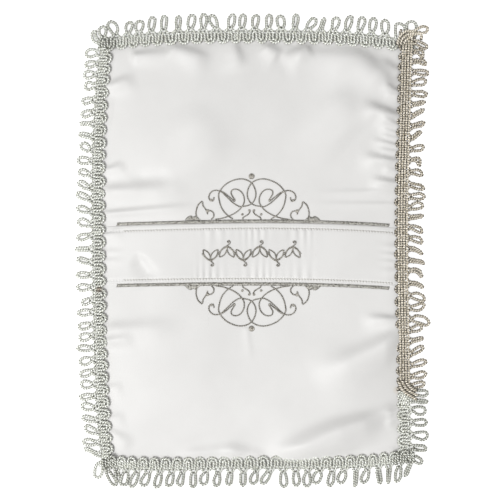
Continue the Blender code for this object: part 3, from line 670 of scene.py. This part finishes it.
def piece(name, points, faces, material, uv=None):
    """A finished mesh object at the origin, which rides on the cover."""
    mesh = bpy.data.meshes.new(name)
    mesh.from_pydata(np.asarray(points).tolist(), [], faces)
    if uv is not None:
        layer = mesh.uv_layers.new(name="thread")
        layer.data.foreach_set("uv", np.asarray(uv, np.float32).ravel())
    mesh.materials.append(material)
    mesh.shade_smooth()
    mesh.update()
    made = bpy.data.objects.new(name, mesh)
    bpy.context.scene.collection.objects.link(made)
    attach(made, BODY)
    return made


def cloth_wall(name, x, y, top, lowest, material, cloth=CLOTH):
    """A wall of cloth: a fine upper face, a coarse lower face and a rim between them."""
    rows, columns = x.shape
    step = INNER_STEP
    fine = np.arange(rows * columns).reshape(rows, columns)
    near = top.copy()
    for _ in range(step):
        grown = np.pad(near, 1, mode="edge")
        shifts = (grown[:-2, 1:-1], grown[2:, 1:-1], grown[1:-1, :-2], grown[1:-1, 2:])
        near = np.minimum.reduce([near, *shifts])
    pick = (slice(None, None, step),) * 2
    under = np.clip(near[pick] - cloth, lowest, top[pick] - 0.5 * cloth)
    outer = np.stack([x, y, top], -1).reshape(-1, 3)
    inner = np.stack([x[pick], y[pick], under], -1).reshape(-1, 3)
    coarse = rows * columns + np.arange(under.size).reshape(under.shape)
    upper = np.stack([fine[:-1, :-1], fine[:-1, 1:], fine[1:, 1:], fine[1:, :-1]], -1)
    lower = np.stack([coarse[:-1, :-1], coarse[1:, :-1], coarse[1:, 1:], coarse[:-1, 1:]], -1)
    faces = upper.reshape(-1, 4).tolist() + lower.reshape(-1, 4).tolist()
    rims = (
        (fine[0], coarse[0]),
        (fine[:, -1], coarse[:, -1]),
        (fine[-1, ::-1], coarse[-1, ::-1]),
        (fine[::-1, 0], coarse[::-1, 0]),
    )
    for above, below in rims:
        for number in range(len(below) - 1):
            run = above[number * step : (number + 1) * step + 1]
            faces.append([int(below[number]), int(below[number + 1])] + [int(v) for v in run[::-1]])
    return piece(name, np.concatenate([outer, inner]), faces, material)


def smooth_path(points, spacing):
    """A smooth line through the points, divided into even steps."""
    points = np.asarray(points, float)
    chord = np.concatenate([[0], np.cumsum(np.linalg.norm(np.diff(points, axis=0), axis=1))])
    slopes = np.gradient(points, chord, axis=0)
    count = max(int(round(chord[-1] / spacing)), 2)
    fine = np.linspace(0, chord[-1], count + 1)
    at = np.clip(np.searchsorted(chord, fine, side="right") - 1, 0, len(points) - 2)
    length = (chord[at + 1] - chord[at])[:, None]
    share = (fine - chord[at])[:, None] / length
    square, cube = share**2, share**3
    return (
        (2 * cube - 3 * square + 1) * points[at]
        + (cube - 2 * square + share) * length * slopes[at]
        + (3 * square - 2 * cube) * points[at + 1]
        + (cube - square) * length * slopes[at + 1]
    )


def thread_frame(path):
    """Unit vectors along a path, aside from it and over it, and the length run so far."""
    tangent = np.gradient(path, axis=0)
    tangent /= np.linalg.norm(tangent, axis=1)[:, None]
    aside = np.cross(tangent, (0, 0, 1))
    aside /= np.linalg.norm(aside, axis=1)[:, None]
    length = np.concatenate([[0], np.cumsum(np.linalg.norm(np.diff(path, axis=0), axis=1))])
    return aside, np.cross(aside, tangent), length


def strand(path, radius, sides=PLY_SIDES, axis=None, shading_scale=None):
    """A round strand along a path: points, faces, thread coordinates and how far out each lies.

    The last is 1 on the crown of the cord or stitch and falls towards 0 at its sides and in its
    crevices; it carries painted shade, which darkens the colour there.
    """
    aside, over, length = thread_frame(path)
    turn = math.tau * (np.arange(sides) + 0.25) / sides
    radius = np.broadcast_to(radius, len(path))[:, None]
    rings = (
        path[:, None, :]
        + (radius * np.cos(turn))[:, :, None] * aside[:, None, :]
        + (radius * np.sin(turn))[:, :, None] * over[:, None, :]
    )
    core = path if axis is None else axis
    reach = radius + np.linalg.norm(path - core, axis=1)[:, None]
    depth = np.linalg.norm(rings - core[:, None, :], axis=2) / reach
    height = (rings[:, :, 2] - core[:, None, 2]) / reach
    # Painted shade: darker towards the core between the plies and down the sides, lighter on top
    crown = depth * np.clip(SIDE_SHADE + (1 - SIDE_SHADE) * height, 0, 1)
    if shading_scale is not None:
        crown = crown * shading_scale[:, None]
    index = np.arange(rings.shape[0] * sides).reshape(-1, sides)
    turned = np.roll(index, -1, axis=1)
    quads = np.stack([index[:-1], index[1:], turned[1:], turned[:-1]], -1).reshape(-1, 4)
    around = np.arange(sides + 1) / sides
    grid = np.stack(np.meshgrid(length, around, indexing="ij"), -1)
    uv = np.stack([grid[:-1, :-1], grid[1:, :-1], grid[1:, 1:], grid[:-1, 1:]], 2).reshape(-1, 2)
    caps = [index[0].tolist(), index[-1, ::-1].tolist()]
    cap_uv = np.zeros((2 * sides, 2))
    return rings.reshape(-1, 3), quads.tolist() + caps, np.concatenate([uv, cap_uv]), crown.ravel()


def plies(path, ply_radius, spread, pitch, sides=5, shading_scale=None):
    """Plies twisted round a path."""
    spread = np.broadcast_to(spread, len(path))[:, None]
    aside, over, length = thread_frame(path)
    for ply in range(PLY_COUNT):
        turn = math.tau * (length / pitch + ply / PLY_COUNT)
        centre = path + spread * (np.cos(turn)[:, None] * aside + np.sin(turn)[:, None] * over)
        yield strand(centre, ply_radius, sides, path, shading_scale)


def joined(name, strands, material):
    """One piece from many strands."""
    points, parts, uv, crown = zip(*strands)
    starts = np.cumsum([0] + [len(part) for part in points]).tolist()
    faces = [[start + at for at in face] for start, part in zip(starts, parts) for face in part]
    made = piece(name, np.concatenate(points), faces, material, np.concatenate(uv))
    layer = made.data.attributes.new("crown", "FLOAT", "POINT")
    layer.data.foreach_set("value", np.concatenate(crown).astype(np.float32))
    return made


def place(side, along, out):
    """X and y of a place along a side and out from the braid's outer edge."""
    reach = edge(side, along) + out
    return {
        "left": (-reach, along),
        "right": (reach, along),
        "bottom": (along, -reach),
        "top": (along, reach),
    }[side]


def corner_climb(side, along):
    """How far, from 0 to 1, a braid has climbed onto its neighbour's end."""
    climb = np.zeros_like(along)
    for from_place, way in OVERLAPS[side]:
        climb += smoothstep(way * (along - from_place * MM) / OVERLAP_RUN)
    return climb


def on_braid(side, flat, lift):
    """Lay a flat route (along, out, extra height) on the cover's edge and let it droop outside."""
    along, out, extra = flat[:, 0], flat[:, 1], flat[:, 2]
    x, y = place(side, along, out)
    droop = LOOP_DROOP * np.clip(out / LOOP_LENGTH, 0, DROOP_END) ** DROOP_POWER
    climb = OVERLAP_RISE * corner_climb(side, along)
    fall = 1 - CLIMB_LOSS * np.clip(out / LOOP_LENGTH, 0, 1)
    z = braid_seat(x, y) - droop + lift + extra + climb * fall
    return np.stack([x, y, np.maximum(z, CORD_LIFT)], -1)


def loop_route(foot, tip, opening, bow):
    """Places along and out round one loop, from its neck to its tip and back."""
    run = tip - foot
    ahead = run / np.linalg.norm(run)
    aside = np.array((ahead[1], -ahead[0]))
    half = OPENED + OPENS_BY * opening / FULLY if opening else ON_EDGE
    neck = NECK_HALF if opening <= FULLY else WIDE_NECK * half
    stack = max(CORD_RADIUS - half, 0)
    route = []
    for way, rows in ((-1, LOOP_PROFILE), (1, LOOP_PROFILE[-2::-1])):
        for share, of_neck, of_half, apart in rows:
            middle = foot + run * share + aside * bow * 4 * share * (1 - share)
            spread = of_neck * neck + of_half * half
            route.append((*(middle + way * aside * spread), way * stack * apart))
    return route


def braid_routes(side):
    """The braid's two cords: one makes the scallops of the inner edge, one the loops."""
    start, end = np.array(BRAID_ENDS[side]) * MM
    rows = LOOPS[side]
    feet = [row[0] * MM for row in rows]
    turns = [start] + [(a + b) / 2 for a, b in zip(feet, feet[1:])] + [end]
    scallop, looped = [], []
    wide = 0.5 - WAIST
    depth = CORD_RADIUS - BRAID_WIDTH - SCALLOP_TURN
    rungs = (SCALLOP_TURN, (SCALLOP_TURN + SHOULDER_TURN) / 2, SHOULDER_TURN)
    for (_, lean, past, opening, bow), foot, before, turn in zip(rows, feet, turns, turns[1:]):
        before, after = 2 * (foot - before), 2 * (turn - foot)
        near, far = WAIST * before, WAIST * after
        scallop += [(foot - near, out, 0) for out in rungs]
        scallop.append((foot, SHOULDER_TURN + (near + far) / 2, 0))
        scallop += [(foot + far, out, 0) for out in rungs[::-1]]
        for bend in np.radians((45, 90, 135)):
            along = turn - wide * after * math.cos(bend)
            scallop.append((along, SCALLOP_TURN + depth * math.sin(bend), 0))
        along = foot + lean * MM
        tip = np.array((along, (USUAL_REACH[side] + past) * MM - float(edge(side, along))))
        neck = np.array((foot, NECK_OUT))
        ahead = (tip - neck) / np.linalg.norm(tip - neck)
        looped += [(foot - wide * before, out, 0) for out in rungs]
        looped += [(foot - share * before, SHOULDER_TURN + out, 0) for share, out in TO_NECK]
        looped += loop_route(neck, tip - CORD_RADIUS * ahead, opening, bow * MM)
        looped += [(foot + share * after, SHOULDER_TURN + out, 0) for share, out in TO_NECK[::-1]]
        looped += [(foot + wide * after, out, 0) for out in rungs[::-1]]
        looped.append((turn, SCALLOP_TURN - WAIST * after, 0))
    return scallop, looped


def yarn(path, shading_scale, girth):
    """The braid's cord along a path, as full as its girth says."""
    return plies(path, PLY_RADIUS * girth, PLY_SPREAD * girth, PLY_TWIST, PLY_SIDES, shading_scale)


def parts_of(flat, low, high):
    """The stretches of a route that lie between two places along the side."""
    inside = (flat[:, 0] >= low) & (flat[:, 0] < high)
    cuts = np.flatnonzero(np.diff(inside.astype(int))) + 1
    for stretch in np.split(np.arange(len(flat)), cuts):
        if inside[stretch[0]] and len(stretch) > 3:
            yield flat[stretch]


def chain_wales(side, low, high, reverse):
    """Rows of chain stitches: over the braid's cords on its reverse, else under them."""
    chance = np.random.default_rng(5)
    start, end = np.array(BRAID_ENDS[side]) * MM
    outline = np.array(LINK)
    outline = np.concatenate([outline, outline[-2::-1] * (1, -1, 1)])
    lift = LINK_LIFT * CORD_RADIUS if reverse else -LINK_SUNK
    for wale in WALES:
        shift = chance.uniform(0, 0.25 * LINK_PITCH)
        for along in np.arange(max(start, low) + shift, min(end, high) - LINK_PITCH, LINK_PITCH):
            link = outline * (LINK_PITCH, MM, MM) + chance.normal(0, LINK_UNEVENNESS, 3)
            flat = smooth_path(link + (along, wale, 0), LINK_STEP)
            middle = np.abs((flat[:, 0] - along) / LINK_PITCH - 0.5)
            # Painted highlight at a link's middle, painted shade towards its ends
            shading_scale = LINK_HIGHLIGHT - LINK_LOSS * smoothstep((middle - LOSS_FROM) / LOSS_RUN)
            yield strand(on_braid(side, flat, lift), LINK_RADIUS, 5, shading_scale=shading_scale)


def braid(name, side, material, low=-1, high=1, reverse=False):
    """A braid between two places along its side, with its loops."""
    chance = np.random.default_rng(11)
    made = []
    for route in braid_routes(side):
        route = np.array(route)
        route[:, :2] += chance.normal(0, UNEVENNESS, (len(route), 2))
        for flat in parts_of(smooth_path(route, CORD_STEP), low, high):
            outside = smoothstep(flat[:, 1] / LOOP_CHANGE + 0.5)
            # Scale of the painted shading: darker all over on the reverse; on the face, painted
            # shade on the loops and where the braid climbs onto its neighbour's end
            if reverse:
                shading_scale = REVERSE_SHADING + REVERSE_LOOPS * outside
            else:
                shaded = corner_climb(side, flat[:, 0]) * (1 - outside)
                shading_scale = (HEAD_SHADING - LOOP_SHADE[side] * outside) * (1 - CORNER_SHADE * shaded)
            girth = 1 + LOOP_GIRTH * outside
            made += list(yarn(on_braid(side, flat, CORD_LIFT), shading_scale, girth))
    made += chain_wales(side, low, high, reverse)
    if reverse:
        for points in TURNOVER:
            turned = [(y * MM, x * MM - float(edge(side, y * MM)), 0) for x, y in points]
            path = on_braid(side, smooth_path(turned, CORD_STEP), TURNED_LIFT * CORD_RADIUS)
            made += list(yarn(path, np.full(len(path), TURNED_SHADING), TURNED_GIRTH))
    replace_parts(joined(name, made, material), "trim_" + side)


def laid(surface, x, y, lift):
    """A route over places of x and y, at a height over a surface."""
    return np.stack([x, y, surface(x, y) + lift], -1)


def scroll_place(across, up, side):
    """A place on the front, from thousandths of the scrollwork's reach and height."""
    x = across * MM * SCROLL_REACH
    return x, float(band_line(x, side * (SCROLL_BASE + up * MM * SCROLL_HEIGHT)))


def scrollwork(name, side, thread):
    """The scrolls on one side of the band, in stem stitch, with their filled dots."""
    strands = []
    for half in HALVES:
        for stroke in SCROLLS:
            route = [scroll_place(half * across, up, side) for across, up in stroke]
            flat = smooth_path(route, SCROLL_STEP)
            path = laid(front_top, flat[:, 0], flat[:, 1], SCROLL_LIFT)
            length = thread_frame(path)[2]
            # Painted glint at the middle of each stem stitch
            shading_scale = 1 + STITCH_GLINT * np.sin(math.tau * length / SCROLL_STITCH)
            strands += list(plies(path, SCROLL_PLY, SCROLL_PLY, SCROLL_TWIST, shading_scale=shading_scale))
    dots = [(half * across, up, size) for across, up, size in SCROLL_DOTS for half in HALVES]
    for across, up, size in dots + [BUD]:
        strands += satin_stitched_dot(*scroll_place(across, up, side), size * MM)
    made = joined(name + "_scroll_stitches", strands, thread)
    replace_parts(made, name + "_scrollwork")


def satin_stitched_dot(x, y, radius):
    """A dot filled with side-by-side stitches."""
    strands = []
    share = np.linspace(-1, 1, 6)
    count = max(int(round(2 * radius / DOT_PITCH)), 2)
    for number in range(count):
        across = -radius + (number + 0.5) * 2 * radius / count
        half = math.sqrt(max(radius * radius - across * across, 0))
        inside = 1.02 - share**2 * (half / radius) ** 2 - (across / radius) ** 2
        lift = DOT_LIFT + DOT_DOME * np.sqrt(np.clip(inside, 0, 1))
        path = laid(front_top, x + np.full(6, across), y + half * share, lift)
        strands.append(strand(path, DOT_THREAD))
    return strands


def mounds(side):
    """Low filled mounds of stitches, which stand on a rail beside the scrolls."""
    strands = []
    low, high, peak = MOUND
    notch_place, notch_width, notch = MOUND_NOTCH
    run = np.linspace(0, 1, 5)
    lift = MOUND_LIFT + MOUND_DOME * np.sqrt(np.clip(1 - run**2, 0, 1))
    for half in HALVES:
        slant = math.copysign(MOUND_SLANT, half)
        for share in np.arange(0, 1, MOUND_PITCH / ((high - low) * SCROLL_REACH)):
            rise = peak * SCROLL_HEIGHT * math.sin(math.pi * share) ** MOUND_POWER
            rise *= 1 - notch * math.exp(-(((share - notch_place) / notch_width) ** 2))
            x = half * (low + share * (high - low)) * SCROLL_REACH + slant * run
            y = band_line(x, side * (SCROLL_BASE - MOUND_SUNK + rise * run))
            strands.append(strand(laid(front_top, x, y, lift), MOUND_THREAD))
    return strands


def rail(name, side, thread):
    """A raised line of satin stitch along one edge of the band."""
    offset = side * (BAND_WIDTH / 2 + GAP + RAIL_WIDTH / 2)
    low, high = RAIL_START * HALF_WIDTH + RAIL_SLANT, RAIL_END * HALF_WIDTH
    strands = mounds(side)
    chance = np.random.default_rng(3)
    # Painted glint: each pass of the thread is painted brighter or darker within that range
    tuft_glint = chance.uniform(*RAIL_GLINT, int((high - low) / RAIL_TUFT) + 1)
    share = np.linspace(-1, 1, 7)
    for start in np.arange(low, high, RAIL_STITCH):
        beside = smoothstep((SCROLL_REACH + RAIL_CHANGE - abs(start)) / RAIL_CHANGE)
        full = RAIL_FULL + RAIL_MORE * beside + chance.uniform(*RAIL_UNEVEN)
        across = share * full * (RAIL_WIDTH / 2 - 0.8 * RAIL_THREAD)
        x = start + share * RAIL_SLANT
        y = band_line(x, offset) + across - upper_sag(x, side)
        lift = RAIL_HEIGHT * RAIL_LOFT * np.sqrt(1.03 - share**2) + chance.uniform(0, RAIL_ROUGH)
        shading_scale = np.full(len(share), tuft_glint[int((start - low) / RAIL_TUFT)])
        strands.append(strand(laid(front_top, x, y, lift + RAIL_LIFT), RAIL_THREAD, shading_scale=shading_scale))
    made = joined(name + "_rail_stitches", strands, thread)
    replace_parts(made, name + "_rail")


def topstitching(thread):
    """Two lines of machine stitches that hold the band's turned edges."""
    strands = []
    share = np.linspace(-1, 1, 6)
    lift = STITCH_LIFT - STITCH_DIVE * share**6
    for line in STITCH_LINES:
        for middle in np.arange(STITCH_START * HALF_WIDTH, STITCH_END * HALF_WIDTH, STITCH_PITCH):
            x = middle + share * STITCH_LENGTH / 2
            y = band_line(x, line) - upper_sag(x, line) - STITCH_SLANT * share
            strands.append(strand(laid(band_top, x, y, lift), STITCH_RADIUS))
    joined("band_topstitching", strands, thread)


def vine(thread):
    """A running vine in stem stitch: a swinging stem with leaves in turn above and below."""
    share = np.linspace(-1, 1, 40)
    swing = VINE_WAVES * math.pi
    routes = [np.stack([share * VINE_REACH, VINE_SWING * np.sin(share * swing)], -1)]
    half_leaf = np.array(LEAF)
    leaf = np.concatenate([half_leaf, half_leaf[-2::-1] * (1, -1)]) * (LEAF_LENGTH, LEAF_WIDTH)
    for number in range(2 * VINE_WAVES):
        crest = (number + 0.5 - VINE_WAVES) / VINE_WAVES
        x, y = crest * VINE_REACH, VINE_SWING * math.sin(crest * swing)
        way = -math.copysign(1, y)
        for lean in (-LEAF_LEAN, LEAF_LEAN):
            turn = way * math.pi / 2 + lean
            spin = np.array(((math.cos(turn), math.sin(turn)), (-math.sin(turn), math.cos(turn))))
            routes.append(leaf @ spin + (x, y * LEAF_SEAT))
        shift = (x - TENDRIL_SHIFT, y - way * TENDRIL_SHIFT)
        routes.append(np.array(TENDRIL) * MM * (1, -way) + shift)
    strands = []
    for route in routes:
        flat = smooth_path(route, SCROLL_STEP)
        x, y = flat[:, 0], band_line(flat[:, 0], flat[:, 1] - VINE_DROP)
        path = laid(band_top, x, y, VINE_LIFT)
        strands += list(plies(path, SCROLL_PLY, SCROLL_PLY, SCROLL_TWIST))
    joined("band_vine", strands, thread)


def front_satin(satin):
    x, y = within_seams(FRONT_CELLS)
    made = cloth_wall("front_satin", x, y, front_top(x, y), BACK_THICKNESS + GAP, satin)
    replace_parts(made, "front_panel")


def back_satin(satin):
    x, y = within_seams(BACK_CELLS)
    mean, swell, run_x, run_y = BACK_SWELL
    top = BACK_THICKNESS * (mean + swell * np.sin(x / run_x) * np.sin(y / run_y))
    made = cloth_wall("back_satin", x, y, top, 0, satin, BACK_THICKNESS)
    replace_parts(made, "back_panel")


def band_satin(satin):
    half = BAND_WIDTH / 2
    x, y = crossings(
        BRAID_WIDTH - BAND_TUCK,
        lambda x: band_line(x, -half),
        lambda x: band_line(x, half) - upper_sag(x),
        BAND_CELLS,
    )
    made = cloth_wall("band_satin", x, y, band_top(x, y), 0, satin)
    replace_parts(made, "name_band")


def studio():
    """A plain pale floor, a soft key light from the lower left, a pale dome and the camera."""
    bpy.ops.mesh.primitive_plane_add(size=FLOOR_SIZE, location=(0, 0, 0))
    floor = bpy.context.object
    floor.name = "floor"
    floor.data.materials.append(matt_white_card())
    scene = bpy.context.scene
    panel = bpy.data.lights.new("key", "AREA")
    panel.size = KEY_SIZE
    panel.energy = KEY_POWER
    key = bpy.data.objects.new("key", panel)
    scene.collection.objects.link(key)
    key.location = KEY_PLACE
    key.rotation_euler = (-mathutils.Vector(KEY_PLACE)).to_track_quat("-Z", "Y").to_euler()
    world = bpy.data.worlds.new("dome")
    scene.world = world
    world.use_nodes = True
    tree = world.node_tree
    backdrop = tree.nodes["Background"]
    way = add(tree, "TexCoord").outputs["Generated"]
    parts = add(tree, "SeparateXYZ", {}, {"Vector": way})
    stops = {"stops": ((0, "#6a6a6a"), (0.35, "#a8a8a8"), (0.9, "#ffffff"))}
    height = add(tree, "ValToRGB", stops, {"Fac": parts.outputs["Z"]})
    tree.links.new(height.outputs["Color"], backdrop.inputs["Color"])
    backdrop.inputs["Strength"].default_value = DOME_STRENGTH
    lens = bpy.data.cameras.new("camera")
    lens.lens = CAMERA_LENS
    lens.sensor_width = SENSOR
    lens.clip_end = 10
    camera = bpy.data.objects.new("camera", lens)
    scene.collection.objects.link(camera)
    camera.location = (*VIEW_CENTRE, FRAME_WIDTH * CAMERA_LENS / SENSOR)
    scene.camera = camera
    scene.view_settings.view_transform = "Standard"


def build():
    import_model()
    bpy.ops.object.select_all(action="DESELECT")
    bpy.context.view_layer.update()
    studio()
    satin = satin_weave_polyester()
    # The third colour of each yarn is its painted shade, for the crevices and the sides
    silver = metallised_yarn("silver_metallised_yarn", "#f9fbf5", "#dbdcd0", "#77776b", 0.36, 0.4)
    reverse = metallised_yarn(
        "silver_metallised_yarn_reverse", "#fff8ea", "#c6bca6", "#4f473a", 0.36, 0.45
    )
    thread = metallised_yarn("metallised_thread", "#c9c5bc", "#8f8a80", "#5c574e", 0.42, 0.4)
    rails = metallised_yarn("metallised_rail_thread", "#cbc9c2", "#8a877f", "#4a4740", 0.4, 0.45)
    white = spun_polyester_thread()
    back_satin(satin)
    front_satin(satin)
    band_satin(satin)
    topstitching(white)
    sides = (("upper", 1), ("lower", -1))
    for name, side in sides:
        rail(name, side, rails)
    for name, side in sides:
        scrollwork(name, side, thread)
    vine(thread)
    for side in ("left", "top", "bottom"):
        braid(side + "_braid", side, silver)
    braid("right_braid", "right", reverse, low=TWIST_PLACE, reverse=True)
    braid("right_braid_turned", "right", silver, high=TWIST_PLACE)


build()
